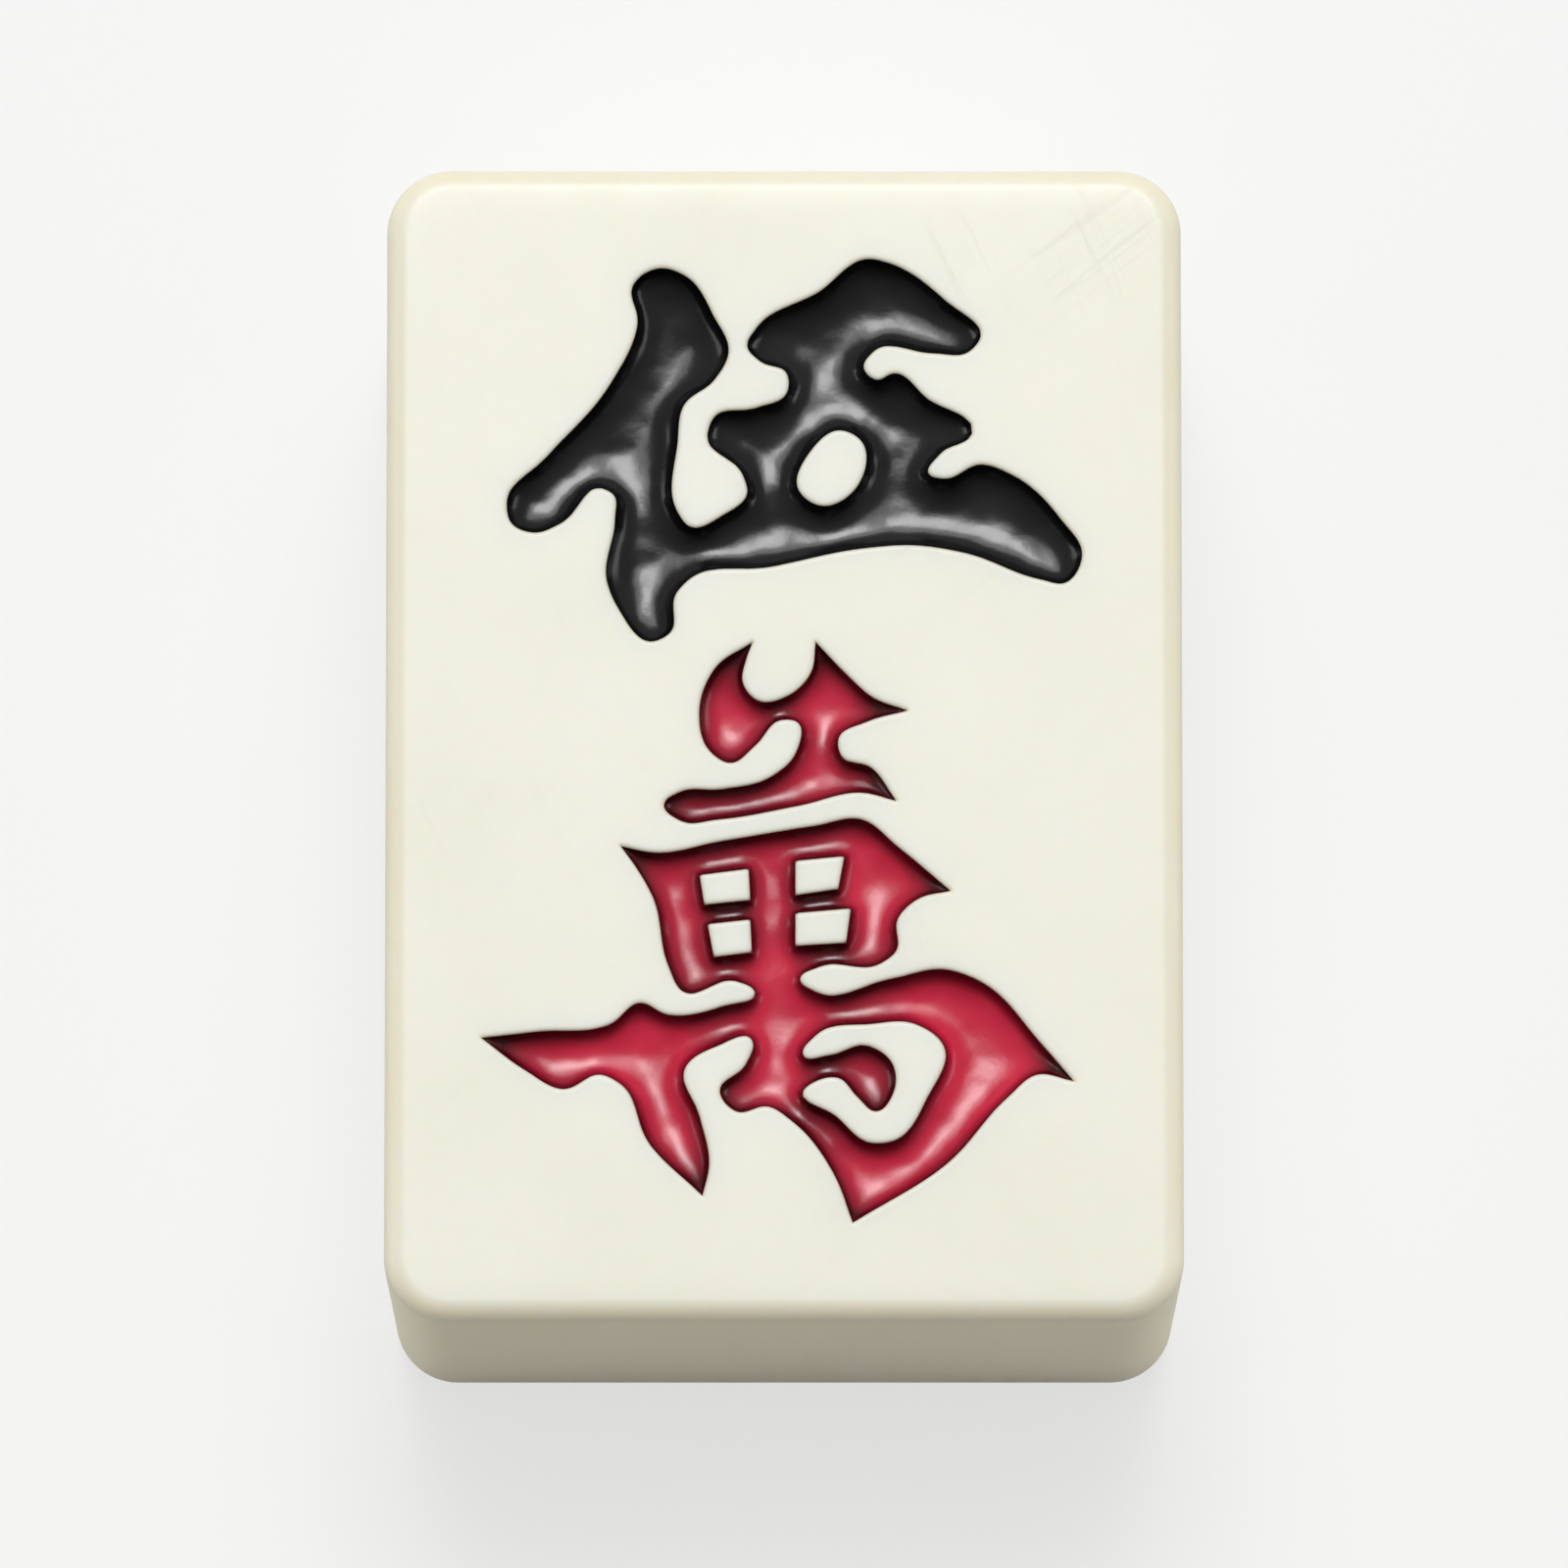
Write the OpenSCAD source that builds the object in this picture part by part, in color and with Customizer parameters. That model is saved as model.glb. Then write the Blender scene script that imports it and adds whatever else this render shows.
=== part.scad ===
// Mahjong tile of the characters suit, lying face up.
// Millimetres. +Z points out of the face, +Y to the head of the numeral and +X to its right.
// The origin is the middle of the back.

/* [Tile] */
// Width, side to side
tile_width = 25; // [20:0.5:40]
// Height, foot to head
tile_height = 36.5; // [28:0.5:56]
// Thickness, back to face
tile_thickness = 19; // [12:0.5:32]
// Rounding of the edges round the face and the back
edge_radius = 0.7; // [0.4:0.1:3]
// Rounding of the four corners, seen from the face
corner_radius = 2; // [0.6:0.1:4]

/* [Engraving] */
// Number cut above the suit sign
rank = "five"; // [one, two, three, four, five, six, seven, eight, nine]
// Depth of the grooves
groove_depth = 0.9; // [0.4:0.1:1.6]
// Thickness of the paint that lines them
paint_coat = 0.25; // [0.1:0.05:0.4]
// Bare wall between the paint and the face
paint_drop = 0.1; // [0.05:0.05:0.3]

/* [Hidden] */
$fn = 64;
// Straight pieces to each curved stretch of a sign
curve_steps = 5;
// How far a cutter runs past the face
overrun = 1;
// Least flat between the centre of a corner and its edge rounding
corner_core = 0.1;
rim = max(corner_radius, edge_radius + corner_core);
// Straight runs of the sides, between the corners
straight = [tile_width - 2 * rim, tile_height - 2 * rim];
groove_floor = tile_thickness - groove_depth;
// The signs are drawn on a page this big, x from the left side and y down from the head
page = [25, 36];
page_scale = min(tile_width / page.x, tile_height / page.y);
// Third number of a drawn point where the line turns sharply
SHARP = 1;

// Strokes that several numerals share

long_stroke = [
    [3.5, 7.75], [4.1, 7.1], [6, 6.95], [11, 6.3], [15, 5.6], [17, 5.1], [18.4, 5.7], [19.7, 6.9],
    [20.6, 8.1], [20.7, 8.8], [20.1, 9], [18.5, 8.5], [15.5, 7.95], [12, 8.1], [9.3, 8.75], [6.8, 9.25],
    [5.3, 9.1], [4.1, 8.5]
];

short_stroke = [
    [8.2, 5.9], [8.7, 5.45], [10.2, 5], [11.8, 3.9], [13.4, 3.15], [14.8, 3.6], [16, 4.8], [16.2, 5.5],
    [15.6, 5.75], [14.2, 5.6], [12.6, 6.2], [11, 6.9], [9.8, 6.95], [8.7, 6.5]
];

function moved(loop, by) = [for (p = loop) [p.x + by.x, p.y + by.y]];

// Signs. Each sign is a list of grooves.
// Each groove is a list of loops: its outline, then the bare spots in it.

one = [[long_stroke]];

two = [[short_stroke], [moved(long_stroke, [0.3, 2.8])]];

three = [
    [moved(short_stroke, [0, -0.8])],
    [moved(short_stroke, [0, 2.9])],
    [moved(long_stroke, [0, 4.3])]
];

four = [[
    [
        [4.5, 6.4], [4.8, 5.3], [5.8, 4.95], [6.9, 5.2], [8.5, 4.7], [11, 3.6], [13.5, 2.75], [16.2, 2.4],
        [18.3, 2.8], [20, 4.1], [21.5, 6.1], [21.7, 6.8], [21.2, 7.15], [20.4, 7.1], [19.7, 8], [18.9, 9.9],
        [17.6, 11.6], [16.1, 12.5], [15.1, 12], [14.6, 10.6], [14.1, 10.1], [13.1, 10.25], [11.3, 10.95],
        [10.1, 10.9], [9.7, 11.3], [9.6, 12.4], [9.1, 12.75], [7.8, 11.9], [6.2, 10], [5, 8.2]
    ],
    [[7.2, 7.1], [8.6, 6.3], [9.5, 6.4], [9.55, 8], [9.4, 9.5], [8.7, 9.8], [7.8, 8.6]],
    [[11.1, 5.8], [12.2, 5.05], [12.95, 5.3], [13, 6.8], [12.4, 8.1], [11.4, 8.6], [10.95, 7.8]],
    [
        [15.2, 5], [16.2, 4.15], [17.6, 4.5], [18, 5.8], [17.8, 7.6], [16.9, 9.2], [16.2, 9.5], [15.2, 8.9],
        [14.1, 8], [14.9, 7.1], [15.05, 6]
    ]
]];

five = [[
    [
        // left side: falling stroke, then the upright
        [8.6, 2.95], [7.75, 3.5], [7.9, 4.6], [7, 6.7], [5, 9], [3.8, 10.4], [3.95, 11.05], [4.65, 11.35],
        [5.5, 11.05], [6.8, 9.95], [7.15, 10.15], [7.2, 10.9], [6.95, 12.9], [7.3, 13.75], [8.4, 14.8],
        [8.9, 14.55], [9.1, 13.3],
        // long base
        [9.5, 12.85], [12, 12.45], [15, 11.85], [16.5, 11.75], [18.2, 12], [20.6, 12.85], [21.3, 12.95],
        [21.85, 12.1], [21.2, 10.95], [19.7, 9.55], [18.7, 9.2], [17.5, 9.65],
        // turn on the right, then the top
        [17.05, 9.5], [17.4, 8.85], [18.4, 8.2], [17, 7.1], [15.95, 6.3], [15.4, 6.5], [15, 6.1],
        [15.3, 5.6], [17.2, 5.65], [18.3, 5.6], [18.65, 5.2], [17.6, 4], [15.7, 2.75], [15.2, 2.65],
        [13.6, 3.7], [11.6, 4.9], [11.35, 5.4], [11.75, 5.9],
        // middle, then back up the upright
        [12.6, 6.3], [12.6, 6.9], [11.6, 7.4], [10.3, 7.7], [10.1, 8.3], [11.2, 9.5], [11.35, 10.1],
        [10.6, 10.8], [9.5, 11.15], [9.15, 10.7], [9.15, 8.5], [9.35, 7.3], [10.3, 6.5], [10.75, 5.6],
        [10.3, 4.5], [9.4, 3.2]
    ],
    [[14.3, 8.1], [14.9, 8.4], [14.8, 9.9], [13.6, 10.5], [12.95, 10], [13.3, 8.8]]
]];

six = [
    [[
        [4, 7.7], [4.6, 7.4], [7, 7.1], [10.2, 6.8], [11, 6.5], [11.1, 5.6], [10.8, 4.9], [9.8, 4.4],
        [9.5, 4.1], [10.1, 3.65], [11.2, 3.3], [11.8, 2.5], [12.2, 2.1], [12.7, 2.6], [13.2, 3.7],
        [14.9, 4.3], [15.2, 4.8], [14.7, 5.2], [13.9, 5.4], [13.5, 6], [13.9, 6.5], [15.2, 6.2],
        [16.8, 5.65], [18.3, 5.8], [19.7, 7], [20.8, 8.3], [20.6, 8.9], [19.8, 8.7], [17.5, 8.2],
        [14.5, 8], [11, 8.4], [8.6, 9.1], [6.6, 9.6], [5.4, 9.2]
    ]],
    [[
        [9.9, 9.6], [10.4, 10.1], [12.2, 11.6], [12, 12], [11, 12.5], [9.6, 13.8], [7.6, 15], [6, 15.55],
        [5.35, 15.4], [5.4, 14.95], [6.6, 14.3], [8.2, 12.8], [9.1, 11.2], [9.4, 10]
    ]],
    [[
        [13.1, 10], [13.8, 9.75], [15.6, 10], [17.4, 10.9], [18.8, 12.4], [19.15, 14], [18.6, 15],
        [17.5, 15.2], [16.4, 14.5], [15.4, 12.9], [14, 11.1]
    ]]
];

seven = [[[
    [8.2, 3.9], [9.2, 3.3], [10.2, 2.5], [10.6, 2.15], [11.1, 2.6], [12, 3.9], [13.5, 4.7], [13.8, 5.1],
    [13.3, 5.5], [12.4, 5.7], [12, 6.4], [11.9, 7.7], [12.3, 8.1], [13.2, 7.3], [15, 5.6], [16.4, 4.5],
    [18.2, 4.6], [20, 5.5], [20.7, 6.2], [20.5, 7.1], [19.5, 7.5], [17.5, 7.1], [16.2, 7.3], [14.5, 8.6],
    [12.6, 9.7], [11.9, 10.2], [12, 10.9], [13, 11.35], [14.5, 11.1], [16, 10.6], [17.3, 10.9],
    [18.5, 12.3], [18.6, 13], [17.9, 13.5], [15.5, 13.55], [12.8, 13.5], [11.2, 13], [10.2, 12.2],
    [9.2, 12.6], [7.8, 13.6], [5.5, 14], [4.4, 13.9], [4.2, 13.3], [5.2, 12.7], [7, 11.6], [8.8, 10.4],
    [9.2, 9.8], [9.1, 8], [9.2, 5.8], [9.1, 4.8], [8.4, 4.4]
]]];

eight = [
    [[
        [7.5, 6.2], [7.9, 5.6], [8.5, 5.6], [9.2, 6.5], [10.3, 7.9], [11, 8.8], [10.8, 9.2], [9.6, 9.6],
        [7.8, 10.8], [6, 11.9], [4.5, 12.4], [3.7, 12.3], [3.6, 11.7], [4.6, 10.9], [6.2, 9.8], [7.1, 8.6],
        [7.4, 7.4]
    ]],
    [[
        [9.4, 4.3], [10.3, 3.3], [11.3, 2.8], [12.6, 3], [13.3, 4.2], [14.1, 6], [15.5, 7.8], [17.5, 9.1],
        [20, 9.9], [21.3, 10], [21.5, 10.4], [20.8, 10.9], [18.5, 11.6], [16.6, 11.9], [15.4, 11.6],
        [13.6, 9.8], [12.2, 7.8], [11.1, 5.6], [10.5, 5], [9.7, 4.9]
    ]]
];

nine = [[[
    [8.2, 2.8], [8.9, 2.5], [10, 2.8], [11.2, 3.8], [12, 5], [12.6, 5.15], [13.8, 4.9], [14.7, 4.3],
    [15.2, 3.5], [15.7, 3.4], [16.5, 4.3], [18, 5.7], [17.6, 6.2], [16.6, 6.9], [15.6, 8.6], [14.9, 10.1],
    [14.9, 10.7], [15.6, 11], [17, 11], [18, 10.5], [18.5, 9.3], [19, 8.7], [19.6, 8.8], [19.8, 9.8],
    [20.1, 11], [21.1, 12.2], [20.9, 12.8], [20, 13.1], [17.5, 13.4], [14.5, 13.3], [12.9, 12.4],
    [12.3, 10.9], [12.6, 9], [12.9, 7.6], [12.6, 6.9], [12.1, 7], [11.6, 8], [10.7, 9.9], [9.2, 12],
    [7.4, 13.6], [5.6, 14.7], [4.8, 14.6], [4.6, 14], [5.6, 13.1], [7.4, 11], [8.8, 9], [9.2, 8.2],
    [8.6, 7.9], [7.6, 8.4], [6.8, 8.2], [5.6, 7.2], [5.1, 6.5], [5.5, 6.05], [7.5, 6], [9, 5.8],
    [9.3, 5.2], [8.9, 4.2]
]]];

ranks = ["one", "two", "three", "four", "five", "six", "seven", "eight", "nine"];
numerals = [one, two, three, four, five, six, seven, eight, nine];
numeral = numerals[search([rank], ranks)[0]];

suit_upper = [[[
    [11.5, 14.85, SHARP], [10.4, 15.6], [9.85, 17], [10.2, 18.3], [10.8, 18.65], [11.6, 18.1], [12.4, 17.3],
    [12.9, 17.35], [12.85, 18.4], [12.1, 19.1], [10.5, 19.5], [9.2, 19.6], [8.75, 19.95], [9.3, 20.5],
    [10.4, 20.45], [13, 20], [15, 19.6], [16, 19.85, SHARP], [15.2, 18.8], [14.3, 18.45], [14.2, 17.9],
    [15.1, 17.35], [16.35, 17, SHARP], [15.3, 16.6], [14.4, 15.8], [13.5, 14.85, SHARP], [13.35, 15.8],
    [12.6, 16.55], [11.7, 16.7], [11.2, 16.1], [11.3, 15.4]
]]];

suit_lower = [[
    [
        // box, its top and right side
        [7.4, 21.3, SHARP], [8.4, 21.5], [10.5, 21.15], [13.5, 20.65], [14.9, 20.45], [16.1, 21.35],
        [17.7, 22.7, SHARP], [16.7, 22.95], [16.05, 23.6], [16, 24.6], [15.5, 25], [13.6, 25.1],
        // right wing and foot
        [13, 25.5], [13.5, 25.9], [15.8, 25.5], [17.6, 25.2], [18.6, 25.55], [20.6, 27.6],
        [21.55, 28.7, SHARP], [20.4, 28.5], [19.5, 29.2], [17.7, 31.2], [14.65, 33.15, SHARP], [14.1, 31.7],
        [12.8, 30], [12, 29.5], [11, 29.65], [10.5, 29.05], [11.3, 28.2], [11.5, 27.4],
        // left wing
        [10.4, 27.6], [9.4, 28.3], [9.85, 29.8], [10.15, 31.4], [9.95, 32.3, SHARP], [8.25, 30.6],
        [7.4, 28.8], [6.8, 28.5], [5.6, 28.95], [4.4, 28.35], [3.05, 27.35, SHARP], [4.8, 27.15],
        [7.1, 26.9], [8, 26.25], [8.8, 26.6], [10.6, 26.35], [11.6, 25.9],
        // box, its left side
        [11, 25.55], [9.3, 25.85], [8.9, 25.1], [8.4, 22.9], [7.9, 22]
    ],
    // windows of the box
    [[9.85, 22.2, SHARP], [11.4, 22, SHARP], [11.45, 23, SHARP], [10, 23.15, SHARP]],
    [[12.85, 21.75, SHARP], [14.4, 21.6, SHARP], [14.2, 22.65, SHARP], [12.85, 22.85, SHARP]],
    [[10.1, 23.75, SHARP], [11.45, 23.6, SHARP], [11.5, 24.65, SHARP], [10.3, 24.8, SHARP]],
    [[12.85, 23.4, SHARP], [14.6, 23.25, SHARP], [14.45, 24.35, SHARP], [12.85, 24.45, SHARP]],
    // inside of the right wing, round its hook
    [
        [13.1, 27.9], [13.5, 27.25], [15.2, 26.9], [16.6, 26.9], [17.5, 27.6], [17, 29.2], [15.9, 30.6],
        [15.2, 30.65], [14.1, 29.8], [13.1, 29], [13.5, 28.7], [14.2, 28.6], [14.8, 29.2], [15.4, 29.65],
        [15.9, 29.1], [15.9, 28.2], [15.1, 27.6], [13.9, 27.9]
    ]
]];

// Smooth curves through the drawn points

function point(loop, i) = loop[(i + len(loop)) % len(loop)];
function spot(loop, i) = [point(loop, i).x, point(loop, i).y];
function is_sharp(loop, i) = len(point(loop, i)) > 2;
function chord(loop, i) = spot(loop, i + 1) - spot(loop, i);
function unit(v) = v / norm(v);

// Way the line runs through a round point, where the shorter of its two chords counts for more
function heading(loop, i) =
    let (before = chord(loop, i - 1), after = chord(loop, i))
    unit(unit(before) * norm(after) + unit(after) * norm(before));

function leaving(loop, i) = is_sharp(loop, i) ? unit(chord(loop, i)) : heading(loop, i);
function arriving(loop, i) = is_sharp(loop, i) ? unit(chord(loop, i - 1)) : heading(loop, i);

// Place on the cubic from point i to the next, with t from 0 to 1
function between(loop, i, t) =
    let (run = norm(chord(loop, i)), ease = t * t * (3 - 2 * t))
    spot(loop, i) * (1 - ease) + spot(loop, i + 1) * ease
    + leaving(loop, i) * run * t * (1 - t) * (1 - t)
    - arriving(loop, i + 1) * run * t * t * (1 - t);

function steps(loop, i) = is_sharp(loop, i) && is_sharp(loop, i + 1) ? 1 : curve_steps;

function curve(loop) =
    [for (i = [0:len(loop) - 1]) for (k = [0:steps(loop, i) - 1]) between(loop, i, k / steps(loop, i))];

function on_face(p) = page_scale * [p.x - page.x / 2, page.y / 2 - p.y];

module drawn(loop) {
    polygon([for (p = curve(loop)) on_face(p)]);
}

module groove_plan(loops) {
    difference() {
        drawn(loops[0]);
        for (k = [1:1:len(loops) - 1])
            drawn(loops[k]);
    }
}

// The block

// Quarter disc of the edge rounding, up = 1 at the face and -1 at the back
module edge_rounding(up) {
    intersection() {
        circle(edge_radius);
        translate([0, up > 0 ? 0 : -edge_radius])
            square(edge_radius);
    }
}

// Section through the rim, from the centre of a corner out to the side
module rim_section() {
    core = rim - edge_radius;
    square([core, tile_thickness]);
    translate([core, edge_radius])
        square([edge_radius, tile_thickness - 2 * edge_radius]);
    translate([core, edge_radius])
        edge_rounding(-1);
    translate([core, tile_thickness - edge_radius])
        edge_rounding(1);
}

module rim_side(run) {
    rotate([90, 0, 0])
        linear_extrude(run, center = true)
            rim_section();
}

module rim_corner() {
    rotate_extrude(angle = 90)
        rim_section();
}

module block() {
    translate([0, 0, tile_thickness / 2])
        cube([straight.x, straight.y, tile_thickness], center = true);
    for (turn = [0:3]) {
        half = (turn % 2 == 0 ? straight : [straight.y, straight.x]) / 2;
        rotate(90 * turn) {
            translate([half.x, 0, 0])
                rim_side(2 * half.y);
            translate([half.x, half.y, 0])
                rim_corner();
        }
    }
}

// Grooves and paint

module grooves(sign) {
    translate([0, 0, groove_floor])
        linear_extrude(groove_depth + overrun)
            for (loops = sign)
                groove_plan(loops);
}

// Paint on the floor and the walls of the grooves, open towards the face
module paint(sign) {
    translate([0, 0, groove_floor])
        for (loops = sign)
            difference() {
                linear_extrude(groove_depth - paint_drop)
                    groove_plan(loops);
                translate([0, 0, paint_coat])
                    linear_extrude(groove_depth)
                        offset(delta = -paint_coat)
                            groove_plan(loops);
            }
}

// Pieces

module tile_body() {
    color("ivory")
        difference() {
            block();
            grooves(numeral);
            grooves(suit_upper);
            grooves(suit_lower);
        }
}

module numeral_paint() {
    color("black")
        paint(numeral);
}

module suit_upper_paint() {
    color("crimson")
        paint(suit_upper);
}

module suit_lower_paint() {
    color("crimson")
        paint(suit_lower);
}

tile_body();
numeral_paint();
suit_upper_paint();
suit_lower_paint();
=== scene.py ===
"""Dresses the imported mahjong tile: an ivory block with round-bottomed grooves, and gloss paint in them."""

import math

import bpy
import numpy as np
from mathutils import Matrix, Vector, noise
from mathutils.geometry import delaunay_2d_cdt


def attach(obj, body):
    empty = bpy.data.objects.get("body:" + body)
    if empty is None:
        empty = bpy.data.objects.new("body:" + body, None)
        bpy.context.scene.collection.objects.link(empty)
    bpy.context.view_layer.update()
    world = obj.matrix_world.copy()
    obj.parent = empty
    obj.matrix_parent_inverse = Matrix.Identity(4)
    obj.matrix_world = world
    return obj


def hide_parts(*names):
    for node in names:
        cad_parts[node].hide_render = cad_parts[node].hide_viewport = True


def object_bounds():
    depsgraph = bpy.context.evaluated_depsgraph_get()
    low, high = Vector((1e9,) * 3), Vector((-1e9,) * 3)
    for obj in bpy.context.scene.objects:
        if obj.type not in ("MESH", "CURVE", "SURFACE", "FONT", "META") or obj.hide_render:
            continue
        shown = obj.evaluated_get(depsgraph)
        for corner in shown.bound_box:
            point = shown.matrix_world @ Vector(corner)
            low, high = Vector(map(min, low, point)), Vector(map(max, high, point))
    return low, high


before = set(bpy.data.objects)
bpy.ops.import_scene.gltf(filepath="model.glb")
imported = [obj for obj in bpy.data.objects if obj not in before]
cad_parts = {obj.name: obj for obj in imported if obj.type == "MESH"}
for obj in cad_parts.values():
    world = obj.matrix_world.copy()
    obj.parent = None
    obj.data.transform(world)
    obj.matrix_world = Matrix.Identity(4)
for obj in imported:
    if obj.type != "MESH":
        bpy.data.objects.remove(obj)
cad_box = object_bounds()

# Meshes are drawn in millimetres and scaled to metres when they are made
MM = 0.001

# Nodes of the frame, with the material slot of each paint
BODY_NODE = "tile_body"
PAINT_SLOTS = {
    "numeral_paint": "black_paint",
    "suit_upper_paint": "red_paint",
    "suit_lower_paint": "red_paint",
}

# Grooves, in millimetres
OUTLINE_STEP = 0.11  # between points along a groove's outline
SHARP_TURN = math.radians(40)  # a turn over this is a corner of the outline
FAN_TURN = math.radians(25)  # between the points that a ring fans out round a corner
RIM_RADIUS = 0.1  # rounding where the face turns down into a groove
RIM_RINGS = [-0.06, -0.03, -0.01]  # rings of points round that rounding
SUPPORT_RINGS = [-0.1, -0.17]  # where the rounding ends, and a flat margin round it
WALL_RINGS = [0.03, 0.08, 0.15, 0.24]  # rings of points down the groove's wall
RING_SLACK = 0.1  # share of its reach by which a point of a ring may be off
FLOOR_STEP = 0.14  # between points over the groove's floor
FACE_STEP = 1.3  # between points over the bare face

# Paint, in millimetres
PAINT_DROP = 0.05  # from the face down to the top of the paint
DROP_WAVER = 0.7  # share of the drop by which it wavers
PAINT_COAT = 0.12  # thickness of the paint
TROUGH_DEPTH = 0.85  # of the paint in a stroke 2 mm wide
TROUGH_POWER = 0.6  # how the depth grows with the width: 1 would be a half circle
RIPPLE_HEIGHT = 0.012  # unevenness of the brushed paint
RIPPLE_LENGTH = 0.7
RIPPLE_SLICE = 0.5  # height at which the ripple is cut from solid noise, in ripple lengths

# Block
CORNER_STEPS = 16  # round each upright corner
SIDE_STEPS = 12  # along each side
EDGE_STEPS = 14  # over the rounding of an edge
CREASE = math.radians(60)  # a fold over this is shaded as sharp

# Tolerances
SAME = 0.001  # lengths this close are the same, in millimetres
SPOT_DIGITS = 4  # decimals by which two points of a mesh are told apart
MERGE_GAP = 1e-6  # points this close are merged when the face is triangulated, in millimetres
AT_REST = 1e-12  # share of the first squared error at which the membrane is at rest
BATCH = 800  # points whose distances are found at once, for the sake of memory
BARE = -1  # groove number of a triangle in no groove

# Colours, in linear red, green and blue
IVORY_DARK, IVORY_LIGHT = (0.835, 0.83, 0.71), (0.87, 0.865, 0.765)
# Tan of rubbed edges, also painted over the sides as shade
IVORY_WORN_AND_SHADED = (0.855, 0.775, 0.565)
TABLE_DARK, TABLE_LIGHT = (0.735, 0.74, 0.735), (0.755, 0.76, 0.755)
ROOM_FRONT, ROOM_SIDES, ROOM_BACK = (0.04, 0.033, 0.025), (0.3, 0.295, 0.285), (0.34, 0.34, 0.34)
OFF, ON = (0, 0, 0), (1, 1, 1)  # for ramps that give a share

# Look of each paint: colour of the painted shade at the groove's rim, darker and lighter colour elsewhere,
# and least roughness
PAINT_LOOKS = {
    "black_paint": ((0.004, 0.004, 0.004), (0.006, 0.006, 0.007), (0.014, 0.013, 0.014), 0.14),
    "red_paint": ((0.06, 0.001, 0.004), (0.55, 0.012, 0.045), (0.67, 0.022, 0.065), 0.18),
}

# Shares and strengths in the materials
NOISE_SPAN = (0.3, 0.7)  # where nearly all values of a noise lie
SIDE_PAINTED_SHADE = 0.85  # share of the tan colour painted on the sides as shade
SIDE_ROUGHNESS = 0.3  # added on the sides
EDGE_ROUGHNESS = 0.08  # added on handled edges
LINE_ROUGHNESS = 0.15  # added in hairline scratches
LINE_HALF_WIDTH = 0.015  # of a scratch, in values of its noise
LINE_STRETCH = 30  # length of a scratch over its width
LINE_TURNS = (24, -51)  # degrees from the tile's height at which the scratches run
LINE_PATCHES = (0.45, 0.65)  # values of a noise between which scratches come in
PAINT_STREAKS = 0.1  # most roughness that streaks add to paint
PAINTED_SHADE_SPAN = (0.3, 0.8)  # stroke depths between which paint goes from the painted shade at the rim to full colour

# Stage, in metres
FLOOR_REACH = 2.5
FLOOR_WHITE = 0.665  # share of the floor's look that is plain white
FLOOR_ROUGHNESS = 0.6
CLIP_END = 100  # how far the camera sees


def cad_points(name):
    """Vertices of a CAD node, in millimetres."""
    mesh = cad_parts[name].data
    points = np.empty(len(mesh.vertices) * 3, np.float32)
    mesh.vertices.foreach_get("co", points)
    return points.reshape(-1, 3).astype(float) / MM


def groove_outlines(name):
    """Loops round the lowest face of a CAD paint node. Seen from the face, the paint is on their right."""
    points = cad_points(name)
    spots = [tuple(p) for p in np.round(points[:, :2], SPOT_DIGITS)]
    on_floor = points[:, 2] < points[:, 2].min() + SAME
    edges = set()
    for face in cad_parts[name].data.polygons:
        corners = list(face.vertices)
        if on_floor[corners].all():
            edges.update((spots[a], spots[b]) for a, b in zip(corners, corners[1:] + corners[:1]))
    following = {a: b for a, b in sorted(edges) if (b, a) not in edges}
    loops = []
    while following:
        start, spot = following.popitem()
        loop = [start]
        while spot != start:
            loop.append(spot)
            spot = following.pop(spot)
        loops.append(smooth_loop(np.array(loop)))
    return loops


def headings(loop):
    """Unit vectors and lengths of the straight runs that leave each point of a closed loop."""
    chord = np.roll(loop, -1, 0) - loop
    run = np.linalg.norm(chord, axis=1, keepdims=True)
    return chord / run, run


def smooth_loop(loop):
    """A closed loop drawn again as a smooth curve of short steps, which keeps its corners."""
    way_out, run = headings(loop)
    way_in, run_in = np.roll(way_out, 1, 0), np.roll(run, 1, 0)
    way = way_in * run + way_out * run_in
    way /= np.linalg.norm(way, axis=1, keepdims=True)
    sharp = (way_in * way_out).sum(1, keepdims=True) < math.cos(SHARP_TURN)
    leaving, arriving = np.where(sharp, way_out, way), np.where(sharp, way_in, way)
    curve = []
    for i in range(len(loop)):
        j = (i + 1) % len(loop)
        steps = max(1, math.ceil(run[i, 0] / OUTLINE_STEP))
        t = np.arange(steps)[:, None] / steps
        ease = t * t * (3 - 2 * t)
        curve.append(
            loop[i] * (1 - ease)
            + loop[j] * ease
            + run[i] * t * (1 - t) * (leaving[i] * (1 - t) - arriving[j] * t)
        )
    return np.concatenate(curve)


def depth_inside(points, loops):
    """Distance of each point from the nearest loop, positive in the groove and negative outside it.

    A point far from the box round the loops gets its distance from that box.
    """
    start = np.concatenate(loops)
    end = np.concatenate([np.roll(loop, -1, 0) for loop in loops])
    side = end - start
    length2 = (side**2).sum(1)
    rise = np.where(side[:, 1] == 0, 1, side[:, 1])
    box_gap = np.maximum(start.min(0) - points, points - start.max(0)).max(1)
    found = -box_gap
    near = np.flatnonzero(box_gap < FACE_STEP)
    for some in np.array_split(near, max(1, len(near) // BATCH)):
        away = points[some, None] - start
        t = np.clip((away * side).sum(2) / length2, 0, 1)
        gap = np.sqrt(((away - t[..., None] * side) ** 2).sum(2)).min(1)
        y = points[some, 1, None]
        crossed = (start[:, 1] > y) != (end[:, 1] > y)
        ahead = away[..., 0] < side[:, 0] * away[..., 1] / rise
        found[some] = np.where((crossed & ahead).sum(1) % 2 == 1, gap, -gap)
    return found


def depths_inside(points, outlines):
    """Depth of each point inside the grooves of each paint: a row for each paint."""
    return np.array([depth_inside(points, loops) for loops in outlines.values()])


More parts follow.
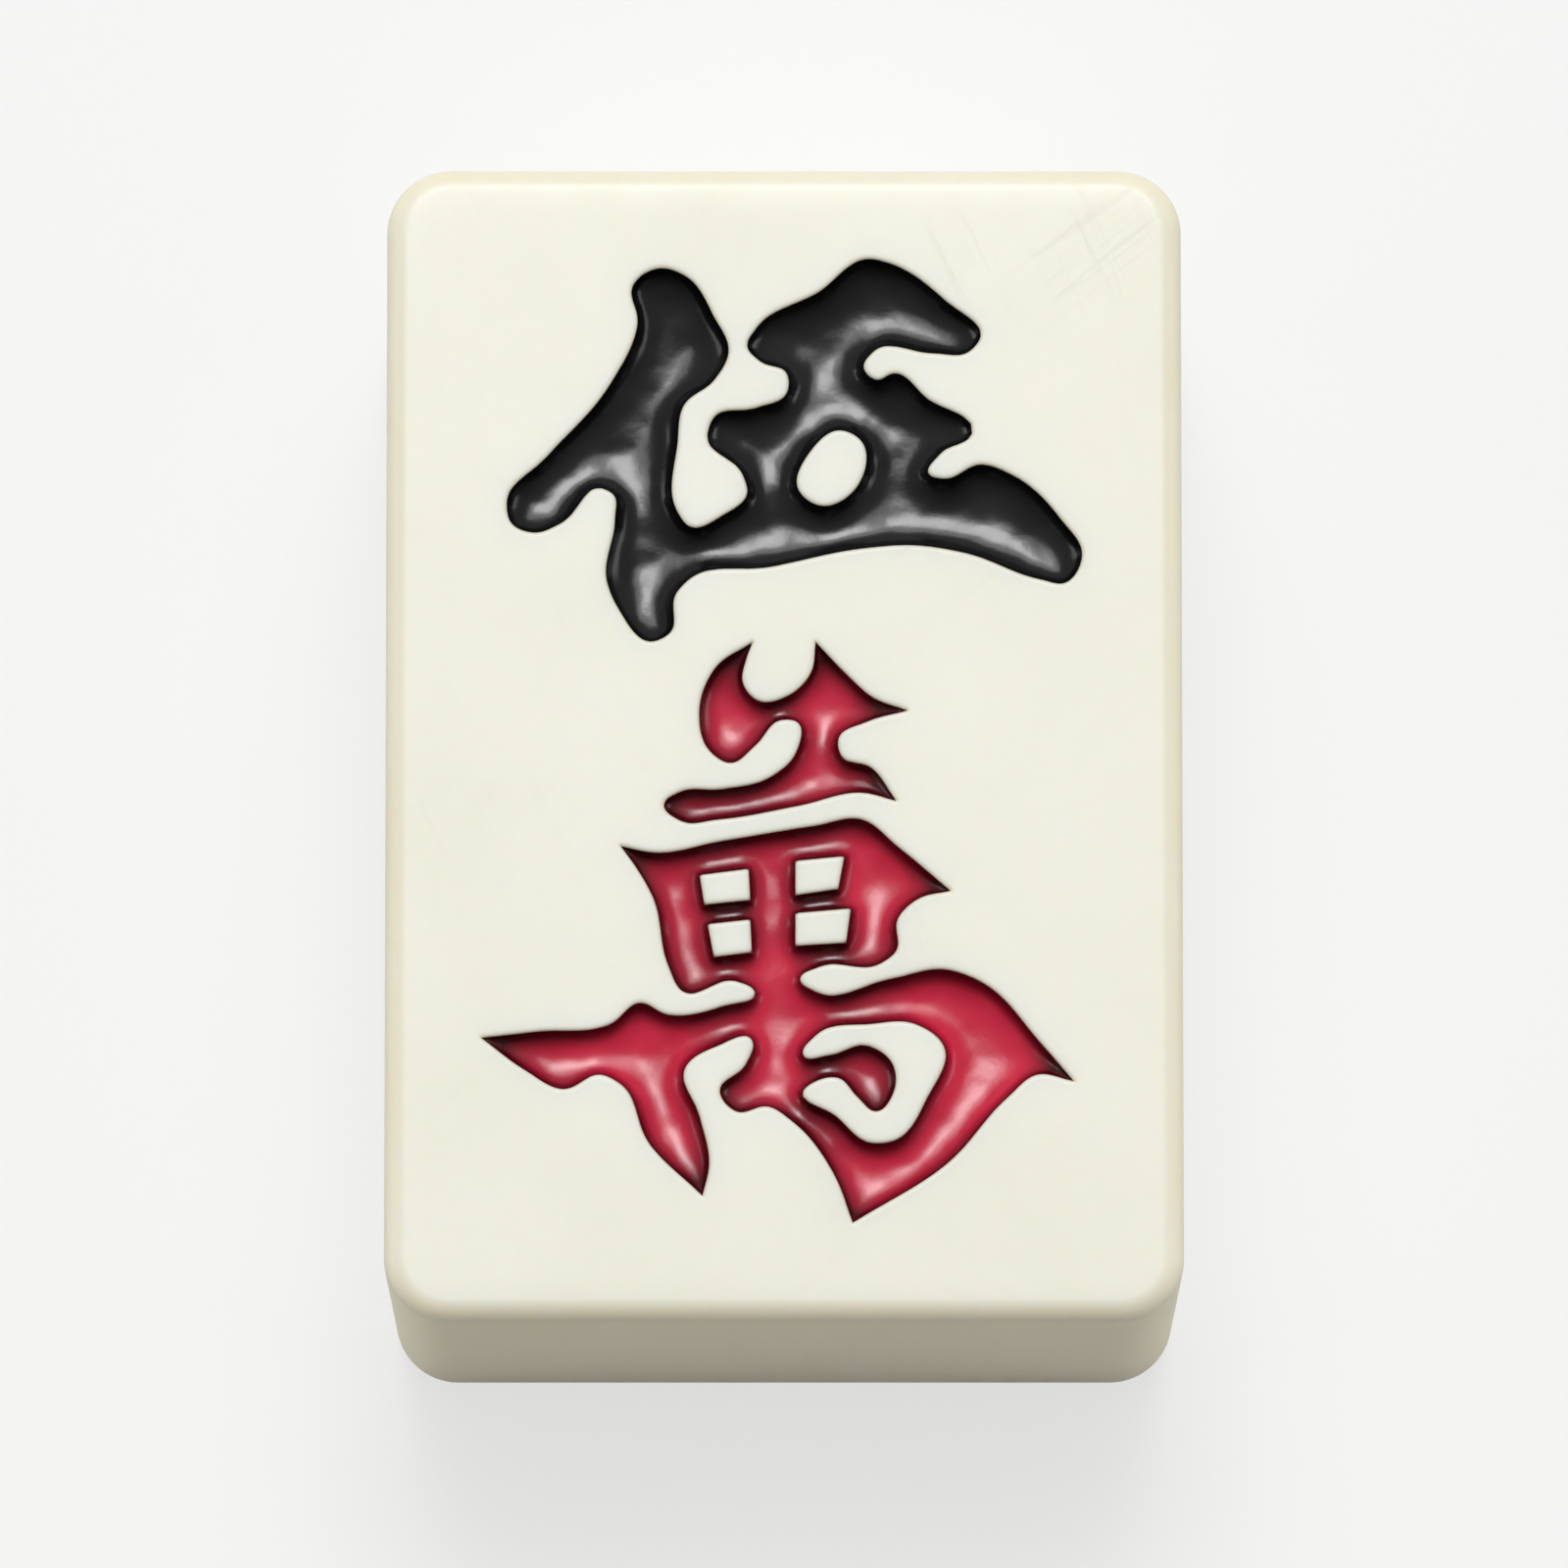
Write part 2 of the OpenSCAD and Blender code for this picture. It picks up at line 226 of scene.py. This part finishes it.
def ring(loop, reach):
    """Points at this distance from a loop, into the groove if positive, fanned out round its corners."""
    way_out, _ = headings(loop)
    way_in = np.roll(way_out, 1, 0)
    turn = np.arctan2(
        way_in[:, 0] * way_out[:, 1] - way_in[:, 1] * way_out[:, 0], (way_in * way_out).sum(1)
    )
    points = []
    for place, way, angle in zip(loop, way_in, turn):
        fan = max(1, round(abs(angle) / FAN_TURN))
        for k in range(fan):
            part = angle * (k + 0.5) / fan
            along = complex(*way) * complex(math.cos(part), math.sin(part))
            points.append(place + reach * np.array([along.imag, -along.real]))
    return np.array(points)


def grid(lowest, highest, step):
    """Points of a triangular grid over a rectangle."""
    rows = np.arange(lowest[1], highest[1], step * math.sqrt(0.75))
    points = []
    for k, y in enumerate(rows):
        x = np.arange(lowest[0] + step / 2 * (k % 2), highest[0], step)
        points.append(np.column_stack([x, np.full(len(x), y)]))
    return np.concatenate(points)


def block_sizes():
    """Half sizes, thickness, edge rounding and corner rounding of the CAD body, in millimetres."""
    points = cad_points(BODY_NODE)
    half = points[:, :2].max(0)
    thickness = points[:, 2].max()
    flat = points[points[:, 2] > thickness - SAME, 0].max()
    side = points[points[:, 0] > half[0] - SAME, 1].max()
    return half, thickness, half[0] - flat, half[1] - side


def rim_loop(half, edge, corner, reach):
    """Loop round the block, this far outside the flat of its face, counter-clockwise from the face."""
    middle = half - corner
    radius = corner - edge + reach
    arcs = []
    for quarter, signs in enumerate([(1, 1), (-1, 1), (-1, -1), (1, -1)]):
        turns = (quarter + np.arange(CORNER_STEPS + 1) / CORNER_STEPS) * math.pi / 2
        arcs.append(middle * signs + radius * np.column_stack([np.cos(turns), np.sin(turns)]))
    loop = []
    for arc, following in zip(arcs, arcs[1:] + arcs[:1]):
        t = np.arange(1, SIDE_STEPS)[:, None] / SIDE_STEPS
        loop += [arc, arc[-1] * (1 - t) + following[0] * t]
    return np.concatenate(loop)


def face_points(outlines, border):
    """Loops that the face's triangles keep to, and the loose points between them."""
    every = [loop for loops in outlines.values() for loop in loops]
    loose = []
    for reach in RIM_RINGS + SUPPORT_RINGS + WALL_RINGS:
        points = np.concatenate([ring(loop, reach) for loop in every])
        miss = np.abs(depths_inside(points, outlines).max(0) - reach)
        loose.append(points[miss < RING_SLACK * abs(reach) + SAME])
    floor = grid(border.min(0), border.max(0), FLOOR_STEP)
    inside = depths_inside(floor, outlines).max(0)
    loose.append(floor[inside > WALL_RINGS[-1] + FLOOR_STEP / 2])
    bare = grid(border.min(0) + FACE_STEP / 2, border.max(0) - FACE_STEP / 2, FACE_STEP)
    inside = depths_inside(bare, outlines).max(0)
    loose.append(bare[inside < -FACE_STEP / 2])
    return [border] + every, np.concatenate(loose)


def triangulate(loops, loose):
    """Triangles over the face that keep to the loops: points, triangles and each loop point's number."""
    points = np.concatenate(loops + [loose])
    edges, first = [], 0
    for loop in loops:
        numbers = range(first, first + len(loop))
        edges += list(zip(numbers, list(numbers[1:]) + [first]))
        first += len(loop)
    made = delaunay_2d_cdt([Vector(p) for p in points], edges, [], 0, MERGE_GAP)
    number = {old: new for new, olds in enumerate(made[3]) for old in olds}
    return np.array([tuple(p) for p in made[0]]), np.array(made[2]), [number[k] for k in range(first)]


def sort_triangles(points, triangles, outlines):
    """Depth of each point inside the grooves, and the number of the paint that each triangle is under."""
    depths = depths_inside(points, outlines)
    inside = depths.max(0)
    inside[np.abs(inside) < SAME] = 0
    groove = np.where(inside[triangles].max(1) > 0, depths[:, triangles].max(2).argmax(0), BARE)
    unsure = np.flatnonzero((inside[triangles] == 0).all(1))
    middles = points[triangles[unsure]].mean(1)
    for number, depth in enumerate(depths_inside(middles, outlines)):
        groove[unsure[depth > 0]] = number
    return inside, groove


def trough(points, triangles, fixed):
    """Depth of a round trough at each point: its half-width along the middle of a stroke, 0 on the outline.

    It is the root of twice the sag of a membrane under even load, which over a straight stroke is a half
    circle. The membrane hangs from the fixed points, and its sag is found by conjugate gradients.
    """
    a, b, c = (points[triangles[:, k]] for k in range(3))
    double_area = (b - a)[:, 0] * (c - a)[:, 1] - (b - a)[:, 1] * (c - a)[:, 0]
    load = np.bincount(triangles.ravel(), np.repeat(double_area / 6, 3), len(points))
    starts, ends, pulls = [], [], []
    for k in range(3):
        apex, one, two = triangles[:, k], triangles[:, k - 2], triangles[:, k - 1]
        dot = ((points[one] - points[apex]) * (points[two] - points[apex])).sum(1)
        starts.append(one)
        ends.append(two)
        pulls.append(dot / double_area / 2)
    starts, ends, pulls = np.concatenate(starts), np.concatenate(ends), np.concatenate(pulls)

    def pull(sag):
        flow = pulls * (sag[starts] - sag[ends])
        total = np.bincount(starts, flow, len(sag)) - np.bincount(ends, flow, len(sag))
        return np.where(fixed, 0, total)

    sag = np.zeros(len(points))
    rest = np.where(fixed, 0, load)
    step, size = rest.copy(), rest @ rest
    target = size * AT_REST
    while size > target:
        pulled = pull(step)
        share = size / (step @ pulled)
        sag += share * step
        rest -= share * pulled
        size, before = rest @ rest, size
        step = rest + step * (size / before)
    return np.sqrt(2 * np.maximum(sag, 0))


def paint_heights(points, width):
    """Height of the paint over the face plane at each point of a groove, below zero."""
    deep = TROUGH_DEPTH * width**TROUGH_POWER
    ripple = np.array(
        [noise.noise((x / RIPPLE_LENGTH, y / RIPPLE_LENGTH, RIPPLE_SLICE)) for x, y in points]
    )
    drop = PAINT_DROP * (1 + DROP_WAVER * ripple)
    return RIPPLE_HEIGHT * ripple * np.minimum(width, 1) - drop - deep


def rim_heights(inside):
    """Height of the bare face over its own plane, rounded down towards the grooves."""
    over = np.clip(inside + RIM_RADIUS, 0, RIM_RADIUS)
    return np.sqrt(RIM_RADIUS**2 - over**2) - RIM_RADIUS


def rim_wear(inside):
    """Wear of the bare face beside the grooves: 1 halfway over their rounded rims."""
    return np.clip(1 - np.abs(inside / RIM_RADIUS + 0.5), 0, 1)


def add_piece(name, points, faces, material, layers):
    """A smooth mesh that rides on the tile, from points in millimetres and layers of a value at each."""
    mesh = bpy.data.meshes.new(name)
    mesh.from_pydata([tuple(p) for p in np.asarray(points) * MM], [], faces)
    for layer, values in layers.items():
        mesh.attributes.new(layer, "FLOAT", "POINT").data.foreach_set("value", values.astype(np.float32))
    mesh.materials.append(material)
    mesh.shade_smooth()
    mesh.set_sharp_from_angle(angle=CREASE)
    piece = bpy.data.objects.new(name, mesh)
    bpy.context.scene.collection.objects.link(piece)
    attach(piece, "root")
    return piece


def add_film(node, points, triangles, width, material):
    """The coat of paint in one node's grooves: a closed film under its top surface."""
    used, triangles = np.unique(triangles, return_inverse=True)
    triangles = triangles.reshape(-1, 3)
    count = len(used)
    lower = points[used] - [0, 0, PAINT_COAT]
    edges = {(a, b) for t in triangles.tolist() for a, b in zip(t, t[1:] + t[:1])}
    walls = [(b, a, a + count, b + count) for a, b in sorted(edges) if (b, a) not in edges]
    faces = triangles.tolist() + (triangles[:, ::-1] + count).tolist() + walls
    layers = {"width": np.tile(width[used], 2)}
    film = add_piece(node + "_film", np.concatenate([points[used], lower]), faces, material, layers)
    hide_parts(node)


def block_levels(edge, thickness):
    """Loops down the block, face to back: reach past the face's flat, height, wear and share of side."""
    turns = np.linspace(0, math.pi / 2, EDGE_STEPS + 1)[1:]
    upper = [
        (edge * math.sin(t), thickness - edge * (1 - math.cos(t)), math.sin(2 * t), 1 - math.cos(t))
        for t in turns
    ]
    lower = [(reach, thickness - z, worn, 1) for reach, z, worn, _ in reversed(upper)]
    return upper + lower + [(0, 0, 0, 1)]


def add_block(face, triangles, border, face_wear, sizes, material):
    """The ivory block: the face with its grooves, then loops down from its border to the back."""
    half, thickness, edge, corner = sizes
    shell, wear, side = [face], [face_wear], [np.zeros(len(face))]
    faces = triangles.tolist()
    last, total = border, len(face)
    for reach, z, worn, aside in block_levels(edge, thickness):
        loop = rim_loop(half, edge, corner, reach)
        count = len(loop)
        shell.append(np.column_stack([loop, np.full(count, z)]))
        wear.append(np.full(count, worn))
        side.append(np.full(count, aside))
        numbers = list(range(total, total + count))
        faces += [
            (a, c, d, b)
            for a, b, c, d in zip(last, last[1:] + last[:1], numbers, numbers[1:] + numbers[:1])
        ]
        last, total = numbers, total + count
    faces.append(last[::-1])
    layers = {"wear": np.concatenate(wear), "side": np.concatenate(side)}
    body = add_piece("ivory_block", np.concatenate(shell), faces, material, layers)
    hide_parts(BODY_NODE)


def build_tile(ivory, paints):
    """The block and the films of paint, which share the triangles of the face."""
    half, thickness, edge, corner = sizes = block_sizes()
    outlines = {node: groove_outlines(node) for node in PAINT_SLOTS}
    border = rim_loop(half, edge, corner, 0)
    points, triangles, loop_numbers = triangulate(*face_points(outlines, border))
    inside, groove = sort_triangles(points, triangles, outlines)

    width = np.zeros(len(points))
    top = np.zeros(len(points))
    used, local = np.unique(triangles[groove != BARE], return_inverse=True)
    width[used] = trough(points[used], local.reshape(-1, 3), inside[used] <= 0)
    top[used] = paint_heights(points[used], width[used])

    heights = np.where(inside < 0, rim_heights(inside), top - PAINT_COAT)
    face = np.column_stack([points, heights + thickness])
    add_block(face, triangles, loop_numbers[: len(border)], rim_wear(inside), sizes, ivory)

    painted = np.column_stack([points, top + thickness])
    for number, (node, slot) in enumerate(PAINT_SLOTS.items()):
        add_film(node, painted, triangles[groove == number], width, paints[slot])


def new_material(name):
    """An empty node material: its node tree, its shader and a texture-coordinate output in metres."""
    material = bpy.data.materials.new(name)
    material.use_nodes = True
    tree = material.node_tree
    shader = tree.nodes["Principled BSDF"]
    place = tree.nodes.new("ShaderNodeTexCoord").outputs["Object"]
    return material, tree, shader, place


def add_noise(tree, place, size, detail=3.0, roughness=0.5):
    """Noise with spots about this many millimetres across."""
    node = tree.nodes.new("ShaderNodeTexNoise")
    node.inputs["Scale"].default_value = 1 / (size * MM)
    node.inputs["Detail"].default_value = detail
    node.inputs["Roughness"].default_value = roughness
    tree.links.new(place, node.inputs["Vector"])
    return node.outputs["Fac"]


def add_ramp(tree, fac, positions, colours):
    """Colour ramp with a colour at each position."""
    node = tree.nodes.new("ShaderNodeValToRGB")
    elements = node.color_ramp.elements
    while len(elements) < len(positions):
        elements.new(0.5)
    for element, position, colour in zip(elements, positions, colours):
        element.position = position
        element.color = (*colour, 1)
    tree.links.new(fac, node.inputs["Fac"])
    return node.outputs["Color"]


def add_range(tree, fac, low, high):
    """A value from 0 to 1 mapped to low to high."""
    node = tree.nodes.new("ShaderNodeMapRange")
    node.inputs["To Min"].default_value = low
    node.inputs["To Max"].default_value = high
    tree.links.new(fac, node.inputs["Value"])
    return node.outputs["Result"]


def add_bump(tree, height, distance, normal=None):
    """Bump of this height in millimetres, over an earlier one."""
    node = tree.nodes.new("ShaderNodeBump")
    node.inputs["Distance"].default_value = distance * MM
    tree.links.new(height, node.inputs["Height"])
    if normal:
        tree.links.new(normal, node.inputs["Normal"])
    return node.outputs["Normal"]


def add_layer(tree, name):
    """The value that the mesh carries at each point under this name."""
    node = tree.nodes.new("ShaderNodeAttribute")
    node.attribute_name = name
    return node.outputs["Fac"]


def add_math(tree, operation, *values):
    """One step of arithmetic on sockets and numbers."""
    node = tree.nodes.new("ShaderNodeMath")
    node.operation = operation
    for socket, value in zip(node.inputs, values):
        if isinstance(value, (int, float)):
            socket.default_value = value
        else:
            tree.links.new(value, socket)
    return node.outputs["Value"]


def add_mix(tree, fac, one, two):
    """A colour between two others, each a socket or a colour."""
    node = tree.nodes.new("ShaderNodeMix")
    node.data_type = "RGBA"
    tree.links.new(fac, node.inputs["Factor"])
    for socket, value in zip([s for s in node.inputs if s.type == "RGBA"], [one, two]):
        if isinstance(value, tuple):
            socket.default_value = (*value, 1)
        else:
            tree.links.new(value, socket)
    return next(s for s in node.outputs if s.type == "RGBA")


def add_hairlines(tree, place, turn):
    """Patches of hairline scratches at this angle to the tile's height, 1 in a scratch and 0 beside it."""
    stretch = tree.nodes.new("ShaderNodeMapping")
    stretch.vector_type = "TEXTURE"
    stretch.inputs["Rotation"].default_value = (0, 0, math.radians(turn))
    stretch.inputs["Scale"].default_value = (1, LINE_STRETCH, LINE_STRETCH)
    tree.links.new(place, stretch.inputs["Vector"])
    long_waves = add_noise(tree, stretch.outputs["Vector"], size=0.7, detail=1)
    crossing = (0.5 - LINE_HALF_WIDTH, 0.5, 0.5 + LINE_HALF_WIDTH)
    lines = add_ramp(tree, long_waves, crossing, (OFF, ON, OFF))
    patches = add_ramp(tree, add_noise(tree, place, size=6, detail=2), LINE_PATCHES, (OFF, ON))
    return add_math(tree, "MULTIPLY", lines, patches)


def ivory_material():
    """Polished ivory resin, clouded and faintly scratched, tanned on its rubbed edges, with tan painted
    shade on its sides.
    """
    material, tree, shader, place = new_material("ivory_melamine")
    clouds = add_noise(tree, place, size=9, detail=7, roughness=0.65)
    cream = add_ramp(tree, clouds, NOISE_SPAN, (IVORY_DARK, IVORY_LIGHT))
    worn, side = add_layer(tree, "wear"), add_layer(tree, "side")
    rubbed = add_range(tree, add_noise(tree, place, size=3), low=0.2, high=1)
    handled = add_math(tree, "MULTIPLY", worn, rubbed)
    # Worn edges get the tan as wear; the sides get it as painted shade.
    worn_and_side_shade = add_math(tree, "MAXIMUM", handled, add_math(tree, "MULTIPLY", side, SIDE_PAINTED_SHADE))
    tree.links.new(add_mix(tree, worn_and_side_shade, cream, IVORY_WORN_AND_SHADED), shader.inputs["Base Color"])

    smears = add_noise(tree, place, size=3, detail=5, roughness=0.6)
    lines = add_math(tree, "ADD", *(add_hairlines(tree, place, turn) for turn in LINE_TURNS))
    rough = add_range(tree, smears, low=0.28, high=0.38)
    rough = add_math(tree, "MULTIPLY_ADD", lines, LINE_ROUGHNESS, rough)
    rough = add_math(tree, "MULTIPLY_ADD", handled, EDGE_ROUGHNESS, rough)
    rough = add_math(tree, "MULTIPLY_ADD", side, SIDE_ROUGHNESS, rough)
    tree.links.new(rough, shader.inputs["Roughness"])

    wave = add_bump(tree, add_noise(tree, place, size=5, detail=1), distance=0.015)
    cuts = add_math(tree, "MULTIPLY", lines, -1)
    tree.links.new(add_bump(tree, cuts, distance=0.0012, normal=wave), shader.inputs["Normal"])
    shader.inputs["Subsurface Weight"].default_value = 0.4
    shader.inputs["Subsurface Radius"].default_value = (1.0, 0.8, 0.5)
    shader.inputs["Subsurface Scale"].default_value = 1.2 * MM
    return material


def paint_material(name, shaded_rim, dark, light, roughness):
    """Gloss paint with painted shade: its colour darkens towards the rim of its groove, where the walls are
    steep.
    """
    material, tree, shader, place = new_material(name)
    full = add_ramp(tree, add_noise(tree, place, size=1.6, detail=4), NOISE_SPAN, (dark, light))
    # Painted shade: the colour goes to the dark rim colour where the stroke is shallow, near its edges.
    unshaded = add_ramp(tree, add_layer(tree, "width"), PAINTED_SHADE_SPAN, (OFF, ON))
    tree.links.new(add_mix(tree, unshaded, shaded_rim, full), shader.inputs["Base Color"])
    streaks = add_noise(tree, place, size=0.9, detail=4, roughness=0.6)
    rough = add_range(tree, streaks, low=roughness, high=roughness + PAINT_STREAKS)
    tree.links.new(rough, shader.inputs["Roughness"])
    grain = add_bump(tree, add_noise(tree, place, size=0.3), distance=0.005)
    tree.links.new(grain, shader.inputs["Normal"])
    return material


def table_material():
    """The pale table. Seen directly or mirrored, it is partly plain white, as a photo's is."""
    material, tree, shader, place = new_material("pale_table")
    pale = add_ramp(tree, add_noise(tree, place, size=30), NOISE_SPAN, (TABLE_DARK, TABLE_LIGHT))
    tree.links.new(pale, shader.inputs["Base Color"])
    shader.inputs["Roughness"].default_value = FLOOR_ROUGHNESS
    white = tree.nodes.new("ShaderNodeEmission")
    ray = tree.nodes.new("ShaderNodeLightPath").outputs
    seen = add_math(tree, "MAXIMUM", ray["Is Camera Ray"], ray["Is Glossy Ray"])
    seen = add_math(tree, "MAXIMUM", seen, ray["Is Transmission Ray"])
    mix = tree.nodes.new("ShaderNodeMixShader")
    tree.links.new(add_math(tree, "MULTIPLY", seen, FLOOR_WHITE), mix.inputs["Fac"])
    tree.links.new(shader.outputs["BSDF"], mix.inputs[1])
    tree.links.new(white.outputs["Emission"], mix.inputs[2])
    tree.links.new(mix.outputs["Shader"], tree.nodes["Material Output"].inputs["Surface"])
    return material


def add_floor():
    """The table that the tile lies on, which keeps the tile's shadow."""
    corners = [(-1, -1, 0), (1, -1, 0), (1, 1, 0), (-1, 1, 0)]
    mesh = bpy.data.meshes.new("table")
    mesh.from_pydata([Vector(corner) * FLOOR_REACH for corner in corners], [], [(0, 1, 2, 3)])
    mesh.materials.append(table_material())
    floor = bpy.data.objects.new("table", mesh)
    bpy.context.scene.collection.objects.link(floor)


def add_world():
    """Dim room light that comes from the back and sides rather than the front."""
    world = bpy.data.worlds.new("studio")
    bpy.context.scene.world = world
    world.use_nodes = True
    tree = world.node_tree
    place = tree.nodes.new("ShaderNodeTexCoord").outputs["Generated"]
    split = tree.nodes.new("ShaderNodeSeparateXYZ")
    tree.links.new(place, split.inputs["Vector"])
    back = add_math(tree, "MULTIPLY_ADD", split.outputs["Y"], 0.5, 0.5)
    room = add_ramp(tree, back, (0, 0.5, 1), (ROOM_FRONT, ROOM_SIDES, ROOM_BACK))
    tree.links.new(room, tree.nodes["Background"].inputs["Color"])


def add_aimed(name, data, target, azimuth, elevation, distance):
    """A lamp or camera aimed at the target. Azimuth 0 is in front of the tile, and 90 to its right."""
    turn, lift = math.radians(azimuth), math.radians(elevation)
    way = Vector((math.sin(turn) * math.cos(lift), -math.cos(turn) * math.cos(lift), math.sin(lift)))
    aimed = bpy.data.objects.new(name, data)
    aimed.location = target + way * distance
    aimed.rotation_euler = way.to_track_quat("Z", "Y").to_euler()
    bpy.context.scene.collection.objects.link(aimed)
    return aimed


def add_softbox(name, target, azimuth, elevation, distance, size, radiance):
    """A square lamp of this size and radiance, aimed at the target."""
    lamp = bpy.data.lights.new(name, "AREA")
    lamp.size = size
    lamp.energy = radiance * math.pi * size**2
    add_aimed(name, lamp, target, azimuth, elevation, distance)


def add_camera(target, azimuth, elevation, distance, field):
    """Camera aimed at the target. field is the width of the view there, in metres."""
    lens = bpy.data.cameras.new("camera")
    lens.sensor_fit = "HORIZONTAL"
    lens.lens = lens.sensor_width * distance / field
    lens.clip_end = CLIP_END
    bpy.context.scene.camera = add_aimed("camera", lens, target, azimuth, elevation, distance)


build_tile(ivory_material(), {slot: paint_material(slot, *look) for slot, look in PAINT_LOOKS.items()})

add_floor()
add_world()
middle = (cad_box[0] + cad_box[1]) / 2
add_softbox("key", middle, azimuth=180, elevation=66.5, distance=3.0, size=0.95, radiance=9.7)
add_softbox("key_spill", middle, azimuth=180, elevation=63, distance=3.05, size=2.07, radiance=3.0)
for name, azimuth in [("left_fill", -90), ("right_fill", 90)]:
    add_softbox(name, middle, azimuth, elevation=15, distance=2.2, size=1.2, radiance=1.5)
add_camera(middle, azimuth=0, elevation=82, distance=0.55, field=0.05)
bpy.context.scene.view_settings.view_transform = "Standard"
